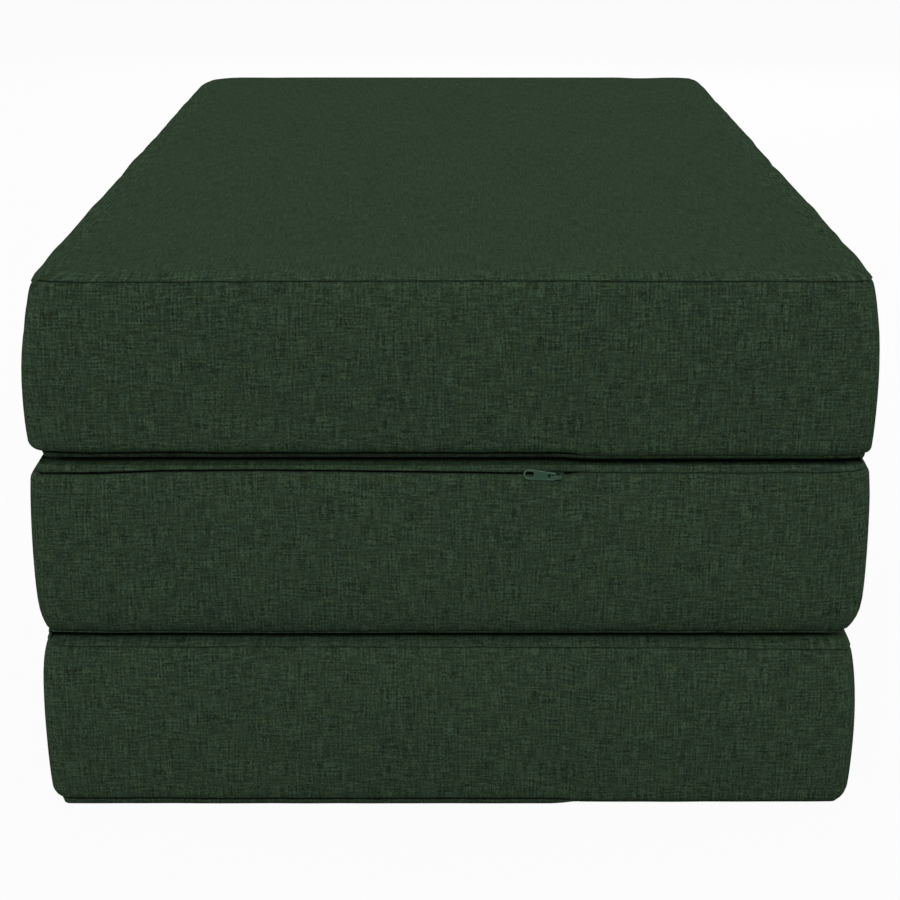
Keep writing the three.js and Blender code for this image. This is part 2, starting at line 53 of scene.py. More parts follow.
# Panel, as in the frame: half sizes of its nominal block, and where each panel stands
HALF_X = 330 * MM
HALF_Y = 482.5 * MM
THICK = 152 * MM
CORNER = 15 * MM
CLOTH = 1.0 * MM
PANELS = ("bottom", "middle", "top")
LEVEL = {"bottom": 0.0, "middle": 304.3 * MM, "top": 304.6 * MM}
FLIPPED = {"bottom": False, "middle": True, "top": False}
FOLD_LEVEL = {"lower": 152.15 * MM, "upper": 304.45 * MM}

# Grid of a face: cells across and along its straight parts, and in a rounded corner
CELLS_X = 68
CELLS_Y = 100
CELLS_CORNER = 5
ROLL_STEPS = 8

# Edges by side, in millimetres: front, right, rear and left as the stack is seen. rim_in is how
# far the rim stands in at the underside, zip_in at the zip line, rim_h the zip line's height,
# roll_h the height of the band's roll above it. seam_in and drop place the face seam, roll is how
# far the face cloth rolls in above it, swell how far the wall swells, and draw how sharply it
# draws in to the seam, which is a power and no length.
EDGES = {
    "bottom": {
        "rim_in": (6.2, 11.5, 6.2, 9.5), "zip_in": (4.2, 8.0, 5.5, 8.0), "rim_h": (6.6, 6.0, 8.2, 6.0),
        "roll_h": (8.5, 13.0, 6.0, 10.0), "seam_in": (3.8, 5.0, 4.0, 3.4), "drop": (7.2, 11.0, 6.5, 4.6),
        "roll": (10.0, 13.0, 8.0, 6.0), "draw": (5.0, 4.0, 8.0, 9.0), "swell": (3.0, 3.4, 3.2, 3.4),
    },
    "middle": {
        "rim_in": (7.8, 5.0, 6.5, 8.4), "zip_in": (3.4, 4.0, 5.6, 4.6), "rim_h": (6.6, 5.4, 6.4, 7.4),
        "roll_h": (5.0, 6.0, 7.5, 8.0), "seam_in": (8.4, 10.5, 7.0, 5.0), "drop": (5.6, 5.8, 5.6, 5.4),
        "roll": (9.0, 9.0, 7.0, 6.0), "draw": (13.0, 14.0, 12.0, 12.0), "swell": (3.2, 3.2, 3.2, 3.4),
    },
    "top": {
        "rim_in": (13.0, 5.0, 6.2, 12.0), "zip_in": (10.0, 4.4, 5.5, 10.0), "rim_h": (7.0, 5.0, 8.2, 6.8),
        "roll_h": (9.5, 6.0, 6.0, 9.0), "seam_in": (3.0, 4.6, 4.0, 5.2), "drop": (5.4, 9.0, 7.0, 14.0),
        "roll": (9.0, 15.0, 11.0, 22.0), "draw": (8.0, 7.0, 7.0, 6.0), "swell": (3.2, 3.0, 3.2, 3.4),
    },
}
# Values that change on the way along the front, in millimetres: places along it, and the values
FRONT = {
    "bottom": {
        "drop": ((-330, 4.2), (-300, 6.6), (-150, 7.0), (0, 7.2), (200, 7.8), (318, 9.6), (330, 13.0)),
    },
    "middle": {
        "rim_h": ((-330, 8.6), (-319, 8.4), (-221, 5.4), (-144, 4.7), (-22, 6.4), (57, 7.6),
                  (83, 8.2), (115, 8.0), (190, 7.9), (298, 7.6), (320, 5.4), (330, 4.9)),
    },
    "top": {
        "drop": ((-330, 11.5), (-318, 8.0), (-300, 6.0), (0, 5.2), (300, 5.4), (318, 6.2), (330, 7.6)),
        "roll": ((-330, 16.0), (-318, 12.5), (-300, 10.0), (0, 9.0), (300, 9.5), (318, 11.5), (330, 13.5)),
    },
}
# The panels whose front values are evened out over neighbouring stations
EVENED = ("bottom", "middle")
# Slow unevenness along the seams: its size, what sets it apart, and the length of its waves
WAVES = {"rim_h": (0.35 * MM, 0, 0.16), "drop": (0.5 * MM, 3, 0.22), "dent": (0.25 * MM, 5, 0.11)}
NOISE_PEAK = 1.8

# A face's crown, and how far in from its rim the crown and the calm middle reach
CROWN_RISE = {"bottom": 2.2 * MM, "middle": 2.2 * MM, "top": 1.6 * MM}
CROWN_REACH = 70 * MM
CALM_REACH = 18 * MM
# How the rim's lower edge turns in: shares of the reach and of the fillet's height. The middle
# panel's cloth sinks in behind its rim, which leaves the dark gap under the top panel.
FILLET = {"bottom": 1.3 * MM, "middle": 2.0 * MM, "top": 2.3 * MM}
FILLET_REACH = 24.0 * MM
ROUND_EDGE = ((0.0, 1.0), (0.02, 0.9), (0.08, 0.84), (0.4, 0.72), (0.72, 0.34), (1.0, 0.0))
PROUD_EDGE = ((0.0, 1.0), (0.02, 1.12), (0.08, 1.6), (0.26, 2.1), (0.6, 1.4), (1.0, 0.0))
FILLET_SHARES = {"bottom": ROUND_EDGE, "middle": PROUD_EDGE, "top": ROUND_EDGE}
# The rim height from which its cloth sinks, and over which it comes to its full depth
SINK_FROM = 4.0 * MM
SINK_OVER = 3.0 * MM
SINK_LEAST = 0.25
# Degrees from upright at which each face cloth leaves its seam, and how far behind the wall's end
START_ANGLE = {"bottom": 18, "middle": 45, "top": 18}
FACE_BACK = {"bottom": 0.0, "middle": 0.8 * MM, "top": 0.2 * MM}
# Radius of each panel's left and right corners at the face seam, in millimetres
SEAM_CORNER = {"bottom": (18, 18), "middle": (15, 15), "top": (42, 31)}
# The cloths' lips at the zip: how deep they go in, and how they turn in
LIP = 3.0 * MM
LIP_SHARE = 0.4
LIP_TURN = 0.5 * MM
LIP_EDGE = 0.05 * MM
RIM_EDGE = 0.4 * MM
SLOT_ZIPPED = 2.0 * MM
SLOT_SEWN = 0.7 * MM
# The face seam: its groove, where the cloths start to turn into it, and the hems inside
SEAM_GROOVE = 1.0 * MM
TURN_FROM = 0.9 * MM
TURN_IN = 0.5 * MM
TURN_UP = 0.2 * MM
SEAM_DEPTH = 1.8 * MM
HEM = 4.0 * MM
HEM_GAP = 0.03 * MM
# Rows up a wall, and how much less it swells at its ends
WALL_SHARES = (0.06, 0.13, 0.21, 0.3, 0.4, 0.5, 0.6, 0.7, 0.79, 0.86, 0.91, 0.95, 0.98)
END_CALM = 0.45

# The zip's edge in the frame, in millimetres: so it is at a parked slider and where a pull ends
FRAME_EDGE = {"rim_in": 6.2, "zip_in": 5.5, "rim_h": 8.2, "roll_h": 6.0}
FRAME_LEFT = 24 * MM
FRAME_RIGHT = 38 * MM

# The front's sewn lower edge right of the zip, in millimetres, and where it begins and ends
SEWN_EDGE = {
    "bottom": {"zip_in": 5.0, "rim_in": 11.0, "roll_h": 8.0, "rim_h": 4.0},
    "top": {"zip_in": 5.0, "rim_in": 11.0, "roll_h": 9.0, "rim_h": 6.0},
}
SEWN_SLOPE = math.radians(38)
SEWN_FROM = 84 * MM
SEWN_REACH = 26 * MM
SEWN_END = 12 * MM

# Puckers along the top panel's left and right edges, in millimetres: distance from the front end,
# depth and half width
PUCKERS = {
    -1: ((52, 0.3, 14), (96, -0.5, 20), (165, 0.5, 18), (248, -0.8, 26), (447, -0.9, 34), (620, 0.5, 30)),
    1: ((44, 0.7, 12), (85, -0.5, 18), (130, 0.9, 13), (166, 0.6, 12), (240, -0.7, 28), (431, 1.3, 16),
        (560, -0.7, 34), (802, 1.2, 16), (870, -0.4, 24)),
}

# Zip: where the sliders are parked, where the middle's pull ends up, and where the slot ends
PARK_X = 82.6 * MM
PULL_END_X = -314 * MM
SLOT_END_X = 93.6 * MM
SLIDER_REACH = 7.4 * MM
SLOT_TAPER = 10 * MM
CHAIN_BEHIND_RIM = 3.55 * MM
# The slot opens a little round a slider: from, to, over which lengths, how far up, down and in
LENS_FROM = PARK_X - 12 * MM
LENS_TO = PARK_X + 21 * MM
LENS_LEFT = 9 * MM
LENS_RIGHT = 16 * MM
LENS_UP = 0.5 * MM
LENS_DOWN = 0.4 * MM
LENS_DEPTH = 2.0 * MM
# Tapes: half thickness, how far up and down they go, and how near the underside's cloth; half
# the chain between them, and what is left between them past it
TAPE_HALF = 0.28 * MM
TAPE_HIGH = 5.0 * MM
TAPE_LOW = 9.0 * MM
TAPE_LEAST = 0.3 * MM
TAPE_FLOOR = 1.2 * MM
TAPE_OVER_SINK = 0.8 * MM
CHAIN_HALF = 1.2 * MM
TAPES_MEET = 0.05 * MM
CORD_HALF = 1.15 * MM
CORD_DEEP = 0.2 * MM

# Foam: its gap to the cloth, and its notches behind the zip and the face seam
FOAM_GAP = 0.5 * MM
NOTCH = 11.0 * MM
NOTCH_DOWN = 1.0 * MM
NOTCH_UP = 4.0 * MM
LIP_ROOM = 2.5 * MM
HEM_ROOM = 1.0 * MM
HEM_DOWN = 1.3 * MM
HEM_UP = 1.2 * MM


def smooth(t):
    """Eases t from 0 to 1, and holds it there outside."""
    t = np.clip(t, 0.0, 1.0)
    return t * t * (3 - 2 * t)


def placed(name, data, place=(0, 0, 0)):
    """A new object of the scene, with its data."""
    made = bpy.data.objects.new(name, data)
    made.location = place
    scene.collection.objects.link(made)
    return made


# Stations round a panel, and the grid of its faces


def columns(half, cells):
    """Grid lines across a half size: the middle of each one's arc, and its signed share of it."""
    straight = half - CORNER
    between = list(np.linspace(-straight, straight, cells + 1))
    centres = [-straight] * CELLS_CORNER + between + [straight] * CELLS_CORNER
    arc = [(i + 1) / CELLS_CORNER for i in range(CELLS_CORNER)]
    shares = [-share for share in reversed(arc)] + [0.0] * (cells + 1) + arc
    return np.array(centres), np.array(shares)


CENTRE_X, SHARE_X = columns(HALF_X, CELLS_X)
CENTRE_Y, SHARE_Y = columns(HALF_Y, CELLS_Y)
COUNT_X, COUNT_Y = len(CENTRE_X), len(CENTRE_Y)


def patch_plan():
    """Arc middle and outward direction of each grid point, from the square corner to a round one."""
    cx, cy = np.meshgrid(CENTRE_X, CENTRE_Y, indexing="ij")
    sx, sy = np.meshgrid(SHARE_X, SHARE_Y, indexing="ij")
    nx = sx * np.sqrt(1 - sy ** 2 / 2)
    ny = sy * np.sqrt(1 - sx ** 2 / 2)
    return np.stack([cx, cy], -1), np.stack([nx, ny], -1)


def ring_order():
    """Grid indices of the rim of the face, counterclockwise from the front left corner."""
    last_x, last_y = COUNT_X - 1, COUNT_Y - 1
    order = [(i, 0) for i in range(last_x)] + [(last_x, j) for j in range(last_y)]
    order += [(i, last_y) for i in range(last_x, 0, -1)] + [(0, j) for j in range(last_y, 0, -1)]
    return np.array(order).T


PATCH_C, PATCH_N = patch_plan()
RING_I, RING_J = ring_order()
STATION_C = PATCH_C[RING_I, RING_J]
STATION_N = PATCH_N[RING_I, RING_J]
STATIONS = len(RING_I)
WALL_XY = STATION_C + STATION_N * CORNER
STEP = np.linalg.norm(np.roll(WALL_XY, -1, 0) - WALL_XY, axis=1)
ALONG = np.concatenate([[0.0], np.cumsum(STEP)])
# Which stations are in a corner, and which on the sides that face along x and along y, from how
# far their outward direction turns
OUT_X, OUT_Y = STATION_N.T
TURNED_FROM = 0.05
FACING = 0.7
CORNERS = (np.abs(STATION_N) > TURNED_FROM).all(axis=1)
ON_SIDE = np.abs(STATION_N) > FACING
FRONT_SIDE = OUT_Y < -FACING
SQUARE = np.where(np.abs(STATION_N) > TURNED_FROM, np.sign(STATION_N), 0.0)
# How near its side's ends each station lies
NEAR_END = (np.abs(WALL_XY) / (HALF_X, HALF_Y) * ON_SIDE[:, ::-1]).max(axis=1)
DRAW_FADE = 25 * MM
SHARPEST = 0.6 * MM


def nearest_station(start, step, wanted):
    """The first station from start, going by step, that is marked in wanted."""
    while not wanted[start % STATIONS]:
        start += step
    return start % STATIONS


def corner_follow():
    """For each station on a straight side, both ways: the nearest corner station, and how much
    it follows that one's draw-in, fading along the side."""
    for step in (-1, 1):
        end = np.array([nearest_station(k, step, CORNERS) for k in range(STATIONS)])
        far = np.linalg.norm(STATION_C - STATION_C[end], axis=1)
        yield end, np.where(CORNERS, 0.0, np.exp(-far / DRAW_FADE))[:, None]


def corner_sides():
    """For each station, the one whose draw-in moves it across and the one that moves it along:
    itself on a straight side, the ends of the two sides in a corner."""
    for axis in (0, 1):
        wanted = ON_SIDE[:, axis] & ~CORNERS
        side = np.arange(STATIONS)
        for k in np.nonzero(CORNERS)[0]:
            ends = [nearest_station(k, step, wanted) for step in (-1, 1)]
            side[k] = min(ends, key=lambda end: np.linalg.norm(STATION_C[k] - STATION_C[end]))
        yield side


FOLLOWED = list(corner_follow())
SIDE_X, SIDE_Y = corner_sides()


def ring(offset, height):
    """One ring of points at an offset from the nominal wall, outward positive, and a height."""
    radius = np.maximum(CORNER + offset, SHARPEST)
    beyond = offset - (radius - CORNER)
    shift = SQUARE * np.column_stack([beyond[SIDE_X], beyond[SIDE_Y]])
    # Along a straight side the points close up where its corners draw in
    follow = sum(shift[end] * share for end, share in FOLLOWED)
    xy = STATION_C + STATION_N * radius[:, None] + shift + follow * (SQUARE == 0)
    return np.column_stack([xy, np.broadcast_to(height, STATIONS)])


def patch_grid(edge_offset):
    """Plan of a face's grid whose rim lies at edge_offset at each station. Inner points keep
    their share of the way, so that an uneven rim fades towards the middle."""
    xy = PATCH_C + PATCH_N * SHARPEST
    rim_move = ring(edge_offset, 0.0)[:, :2] - xy[RING_I, RING_J]
    edge = np.zeros_like(xy)
    edge[RING_I, RING_J] = rim_move
    half_x, half_y = xy[..., 0].max(), xy[..., 1].max()
    left, right = (np.exp(-(half_x + sign * xy[..., :1]) / DRAW_FADE) for sign in (1, -1))
    low, high = (np.exp(-(half_y + sign * xy[..., 1:]) / DRAW_FADE) for sign in (1, -1))
    inner = left * edge[:1] + right * edge[-1:] + low * edge[:, :1] + high * edge[:, -1:]
    inner -= left * low * edge[0, 0] + right * low * edge[-1, 0]
    inner -= left * high * edge[0, -1] + right * high * edge[-1, -1]
    inner[RING_I, RING_J] = rim_move
    return xy + inner


def inward(reach):
    """Share from 0 at a face's rim to 1 at a distance inside it, for each point of its grid."""
    room = (np.abs(PATCH_C).max(axis=(0, 1)) - np.abs(PATCH_C)) / reach
    return smooth(room).prod(axis=-1)


CROWN_SHARE = inward(CROWN_REACH)
CALM_SHARE = inward(CALM_REACH)


# Panels and the lines of their cloths


def side_values(name, key):
    """One edge value at each station, in metres, changing from side to side round the corners."""
    front, right, rear, left = EDGES[name][key]
    if FLIPPED[name]:
        right, left = left, right
    value = front * np.maximum(0, -OUT_Y) ** 2 + rear * np.maximum(0, OUT_Y) ** 2
    value += right * np.maximum(0, OUT_X) ** 2 + left * np.maximum(0, -OUT_X) ** 2
    return value * (1.0 if key == "draw" else MM)


def corner_extra(name):
    """How much further in the face seam lies at each station, as its corners have a larger radius."""
    left, right = SEAM_CORNER[name]
    radius = np.where(WALL_XY[:, 0] < 0, left, right) * MM
    gap = np.maximum(np.abs(STATION_C) - ((HALF_X, HALF_Y) - radius[:, None]), 0.0)
    across = (gap * np.abs(STATION_N)).sum(axis=1)
    reach = np.sqrt(np.maximum(across ** 2 - (gap ** 2).sum(axis=1) + radius ** 2, 0.0)) - across
    return np.maximum(CORNER - reach, 0.0)


class Panel:
    """The edge values of one panel at its stations, in the panel's own frame, face up."""

    def __init__(self, name):
        self.name = name
        self.turned = -1 if FLIPPED[name] else 1
        self.slider_y = -1 if name == "middle" else 1
        self.seed = 11.3 + 7.1 * PANELS.index(name)
        for key in EDGES[name]:
            setattr(self, key, side_values(name, key))
        self.x = x = self.turned * WALL_XY[:, 0]
        # The zip runs round three sides and some way along the ends towards the fourth
        at_end = np.where(ON_SIDE[:, 1], smooth((SLOT_END_X + SLOT_TAPER - x) / SLOT_TAPER), 1.0)
        self.zipped = np.where(self.turned * OUT_X > FACING, 0.0, at_end)
        if name != "middle":
            self.rim_h += (OUT_Y < TURNED_FROM) * self.wave("rim_h")
        self.drop += self.wave("drop")
        for key, line in FRONT[name].items():
            places, values = np.array(line).T
            self.pull(FRONT_SIDE, {key: np.interp(x / MM, places, values)})
            if name in EVENED:
                now = getattr(self, key)
                setattr(self, key, (np.roll(now, 1) + 2 * now + np.roll(now, -1)) / 4)
        # Near the slider the edge stands as in the frame, so that slider and slot meet
        width = np.where(x < PARK_X, FRAME_LEFT, FRAME_RIGHT)
        slider_side = OUT_Y * self.slider_y > 0.9
        self.pull(np.exp(-((x - PARK_X) / width) ** 2) * slider_side, FRAME_EDGE)
        if name == "middle":
            # and so it does where the pull ends up when the zip is open
            near = np.exp(-((x - PULL_END_X) / FRAME_LEFT) ** 2) * np.maximum(0, -OUT_Y) ** 2
            self.pull(near, {key: FRAME_EDGE[key] for key in ("zip_in", "roll_h")})
        self.slot = SLOT_SEWN + (SLOT_ZIPPED - SLOT_SEWN) * self.zipped
        self.lens = smooth((x - LENS_FROM) / LENS_LEFT) * smooth((LENS_TO - x) / LENS_RIGHT) * slider_side
        self.sink = np.clip((self.rim_h - SINK_FROM) / SINK_OVER, SINK_LEAST, 1.0)
        over_sink = TAPE_OVER_SINK * self.sink if name == "middle" else 0.0
        self.tape_low = FILLET[name] + TAPE_FLOOR + over_sink
        self.roll_start = np.zeros(STATIONS)
        if name in SEWN_EDGE:
            # Past the zip the front's lower edge is sewn and rounds smoothly under
            sewn = smooth((x - SEWN_FROM) / SEWN_REACH) * smooth((HALF_X - x) / SEWN_END) * FRONT_SIDE
            self.pull(sewn, SEWN_EDGE[name])
            self.roll_start = SEWN_SLOPE * sewn
        self.roll_top = self.rim_h + self.slot + self.roll_h
        self.seam_h = THICK - self.drop
        self.corner_in = corner_extra(name)
        self.seam_in += self.corner_in
        self.dent = self.wave("dent")
        if name == "top":
            for sign, puckers in PUCKERS.items():
                for place, depth, width in puckers:
                    far = (WALL_XY[:, 1] + HALF_Y - place * MM) / (width * MM)
                    self.dent += (OUT_X * sign > FACING) * depth * MM * np.exp(-far ** 2)

    def wave(self, key):
        """A slow unevenness along one of the panel's seams, the same each run."""
        size, apart, length = WAVES[key]
        seed = self.seed + apart
        heights = [noise.noise((at / length, seed, 0.37 * seed)) for at in ALONG[:-1]]
        return size * NOISE_PEAK * np.array(heights)

    def pull(self, share, values):
        """Moves edge values towards others, in millimetres, by a share at each station."""
        for key, held in values.items():
            now = getattr(self, key)
            setattr(self, key, now + share * (held * MM - now))

    def world(self, points):
        """Points from the panel's own frame to the row frame."""
        out = points * (self.turned, 1, self.turned)
        out[:, 2] += LEVEL[self.name]
        return out


def band_profile(p):
    """The band's outer line from its lip at the zip to its hem at the face seam: rows of
    (offset, height) at each station."""
    slot_top = p.rim_h + p.slot + LENS_UP * p.lens
    roll = p.roll_top - slot_top
    sewn = (1 - p.zipped) * (p.slot / 2 - HEM_GAP)
    rows = [(-p.zip_in - LIP, slot_top + LIP_TURN * p.zipped - sewn),
            (-p.zip_in - LIP * LIP_SHARE, slot_top + LIP_EDGE - sewn)]
    start = p.roll_start
    for step in range(ROLL_STEPS):
        angle = start + (math.pi / 2 - start) * step / ROLL_STEPS
        out = (np.sin(angle) - np.sin(start)) / (1 - np.sin(start))
        rows.append((p.zip_in * (out - 1), p.roll_top - roll * np.cos(angle) / np.cos(start)))
    swell = p.swell * (1 - END_CALM * NEAR_END ** 3)
    top = p.seam_h - SEAM_GROOVE / 2
    for share in WALL_SHARES:
        bulge = swell * math.sin(math.pi * share) ** 0.8
        drawn = (p.seam_in - p.corner_in) * share ** p.draw + p.corner_in * share ** 3
        rows.append((bulge - drawn - p.dent * share ** 4, p.roll_top + (top - p.roll_top) * share))
    seam_in = p.seam_in + p.dent
    return rows + [(-seam_in, top - TURN_FROM), (-seam_in - TURN_IN, top - TURN_UP),
                   (-seam_in - SEAM_DEPTH, p.seam_h - HEM_GAP), (-seam_in - HEM, p.seam_h - HEM_GAP)]


def face_profile(p):
    """The face cloth's outer line from its hem at the seam, over the roll, to the patch's rim."""
    low = p.seam_h + SEAM_GROOVE / 2
    rise = THICK - CROWN_RISE[p.name] - low - TURN_FROM
    seam_in = p.seam_in + p.dent
    back = FACE_BACK[p.name]
    first = math.radians(START_ANGLE[p.name])
    rows = [(-seam_in - HEM, p.seam_h + HEM_GAP),
            (-seam_in - SEAM_DEPTH, p.seam_h + HEM_GAP),
            (-seam_in - TURN_IN - back, low + TURN_UP)]
    for step in range(ROLL_STEPS):
        angle = first + (math.pi / 2 - first) * step / (ROLL_STEPS - 1)
        out = 1 - math.cos(angle) / math.cos(first)
        up = (math.sin(angle) - math.sin(first)) / (1 - math.sin(first))
        sag = p.dent * (1 - out)
        sink = p.dent * 0.9 * math.sin(math.pi * up)
        rows.append((-p.seam_in - back - sag - p.roll * out, low + TURN_FROM + rise * up - sink))
    return rows


def base_profile(p):
    """The base cloth's outer line from its lip at the zip, down the rim, to the patch's rim."""
    dip = LENS_DOWN * p.lens
    sewn = (1 - p.zipped) * (p.slot / 2 - HEM_GAP)
    rows = [(-p.zip_in - LIP, p.rim_h - LIP_TURN * p.zipped - dip + sewn),
            (-p.zip_in - LIP * LIP_SHARE, p.rim_h - LIP_EDGE - dip + sewn),
            (-p.zip_in, p.rim_h - RIM_EDGE - dip)]
    fillet = FILLET[p.name]
    low = -p.rim_in + (p.rim_in - p.zip_in) * fillet / p.rim_h
    for share in (0.35, 0.7):
        height = p.rim_h - (p.rim_h - fillet) * share - dip * (1 - share)
        rows.append((-p.zip_in + (low + p.zip_in) * share, height))
    for reach, height in FILLET_SHARES[p.name]:
        if height > 1:
            height = 1 + (height - 1) * p.sink
        rows.append((low - FILLET_REACH * reach, fillet * height))
    return rows


def thickened(rows, outward):
    """The inner line that lies one cloth's thickness behind the outer line, row by row."""
    offsets, heights = (np.array([np.broadcast_to(row[k], STATIONS) for row in rows]) for k in (0, 1))
    d_offset = np.gradient(offsets, axis=0)
    d_height = np.gradient(heights, axis=0)
    size = np.maximum(np.hypot(d_offset, d_height), 1e-9)
    inner_offsets = offsets - outward * CLOTH * d_height / size
    inner_heights = heights + outward * CLOTH * d_offset / size
    return list(zip(inner_offsets, inner_heights))


class Builder:
    """Gathers one piece's points, faces and weave coordinates."""

    def __init__(self):
        self.points, self.uvs, self.flats = [], [], []
        self.faces, self.face_uvs = [], []
        self.count = 0

    def add(self, points, uv, flat=0.0):
        """Points with their weave coordinates, and how far each lies in a face's flat middle."""
        self.points.append(np.asarray(points, float))
        self.flats.append(np.broadcast_to(flat, len(points)))
        self.uvs.append(np.asarray(uv, float))
        self.count += len(points)
        return np.arange(self.count - len(points), self.count)

    def bridge(self, a, b, seam_uv=None):
        """Quads between two rings of indices. seam_uv moves the last column's end along."""
        self.faces.append(np.column_stack([a, np.roll(a, -1), np.roll(b, -1), b]))
        shift = np.zeros((len(a), 4))
        if seam_uv:
            shift[-1, 1:3] = seam_uv
        self.face_uvs.append(shift)

    def quads(self, quads):
        self.faces.append(np.asarray(quads))
        self.face_uvs.append(np.zeros((len(quads), 4)))

    def patch(self, p, line, level, face, flip):
        """A face's grid inside a line of offset and height, crowned on the face side. Returns
        its rim's indices and plan."""
        offset, rim_height = line
        xy = patch_grid(offset)
        z = level + (CROWN_RISE[p.name] if face else 0.0) * (CROWN_SHARE - 1)
        z[RING_I, RING_J] = rim_height
        points = np.concatenate([xy, z[..., None]], -1).reshape(-1, 3)
        index = self.add(points, xy.reshape(-1, 2), CALM_SHARE.ravel()).reshape(COUNT_X, COUNT_Y)
        quads = np.stack([index[:-1, :-1], index[1:, :-1], index[1:, 1:], index[:-1, 1:]], -1)
        quads = quads.reshape(-1, 4)
        self.quads(quads[:, ::-1] if flip else quads)
        return index[RING_I, RING_J], xy[RING_I, RING_J]

    def rows(self, before, lines, weave, seam_uv=None):
        """Rings along lines of offset and height, each joined to the one before it. before is
        the ring on the first line, weave gives the coordinates from the way come so far."""
        reach = 0.0
        for last, (offset, height) in zip(lines, lines[1:]):
            reach = reach + np.hypot(offset - last[0], height - last[1])
            now = self.add(ring(offset, height), weave(reach))
            self.bridge(before, now, seam_uv)
            before = now
        return before

    def build(self, name, move=None):
        points = np.concatenate(self.points)
        if move:
            points = move(points)
        faces = np.concatenate(self.faces)
        mesh = bpy.data.meshes.new(name)
        mesh.from_pydata(points.tolist(), [], faces.tolist())
        loop_uv = np.concatenate(self.uvs)[faces.ravel()]
        loop_uv[:, 0] += np.concatenate(self.face_uvs).ravel()
        mesh.uv_layers.new(name="cloth").data.foreach_set("uv", loop_uv.astype(np.float32).ravel())
        flat = mesh.attributes.new("flat", "FLOAT", "POINT")
        flat.data.foreach_set("value", np.concatenate(self.flats).astype(np.float32))
        bm = bmesh.new()
        bm.from_mesh(mesh)
        bmesh.ops.recalc_face_normals(bm, faces=bm.faces)
        bm.to_mesh(mesh)
        bm.free()
        mesh.polygons.foreach_set("use_smooth", [True] * len(mesh.polygons))
        mesh.update()
        return placed(name, mesh)


def covered_sheet(name, rows, p, face, move):
    """A face or base cloth: its patch, its outer rows to the hem, and back along the inner side.
    rows run from the hem to the patch's rim."""
    level, outward = (THICK, 1) if face else (0.0, -1)
    built = Builder()
    hems = []
    for inner, lines in ((False, rows), (True, thickened(rows, outward))):
        edge, rim = built.patch(p, lines[-1], level - outward * CLOTH * inner, face, face == inner)
        hems.append(built.rows(edge, lines[::-1], lambda reach: rim + STATION_N * reach[:, None]))
    built.bridge(*hems)
    return built.build(name, move)


def band_weave(reach):
    """Weave coordinates round a panel, at a way up from where its band begins."""
    return np.column_stack([ALONG[:-1], np.broadcast_to(reach, STATIONS)])


def band_sheet(name, rows, move):
    """The band: a closed loop of rows, its outer side, its hem, and back along the inner side."""
    loop = rows + thickened(rows, 1)[::-1]
    built = Builder()
    first = built.add(ring(*loop[0]), band_weave(0.0))
    last = built.rows(first, loop, band_weave, ALONG[-1])
    built.bridge(last, first, ALONG[-1])
    return built.build(name, move)


def foam_block(name, p, move):
    """The foam inside a cover: a crowned block with rounded edges, just inside the cloth."""
    deep = CLOTH + FOAM_GAP
    sunk = deep + FILLET[p.name] * max(height for _, height in FILLET_SHARES[p.name])
    zip_side = -np.maximum(p.zip_in, p.rim_in)
    hem_side = -p.seam_in - np.maximum(p.dent, 0) - HEM - HEM_ROOM
    lines = [(-p.rim_in - FILLET_REACH - deep, deep),
             (-p.rim_in - FILLET_REACH * 0.7 - deep, sunk),
             (zip_side - LIP - LIP_ROOM, sunk),
             (zip_side - NOTCH, p.rim_h + NOTCH_DOWN),
             (zip_side - NOTCH, p.rim_h + p.slot + NOTCH_UP)]
    lines += [(offset - deep, height) for offset, height in band_profile(p)[ROLL_STEPS:-4]]
    lines += [(hem_side, p.seam_h - HEM_DOWN), (hem_side, p.seam_h + HEM_UP)]
    lines += [(offset - deep * 0.7, height - deep * 0.7) for offset, height in face_profile(p)[6:]]
    built = Builder()
    lower, _ = built.patch(p, lines[0], deep, False, True)
    last = built.rows(lower, lines[:-1], band_weave, ALONG[-1])
    upper, _ = built.patch(p, lines[-1], THICK - deep, True, False)
    built.bridge(last, upper)
    return built.build(name, move)


# Materials


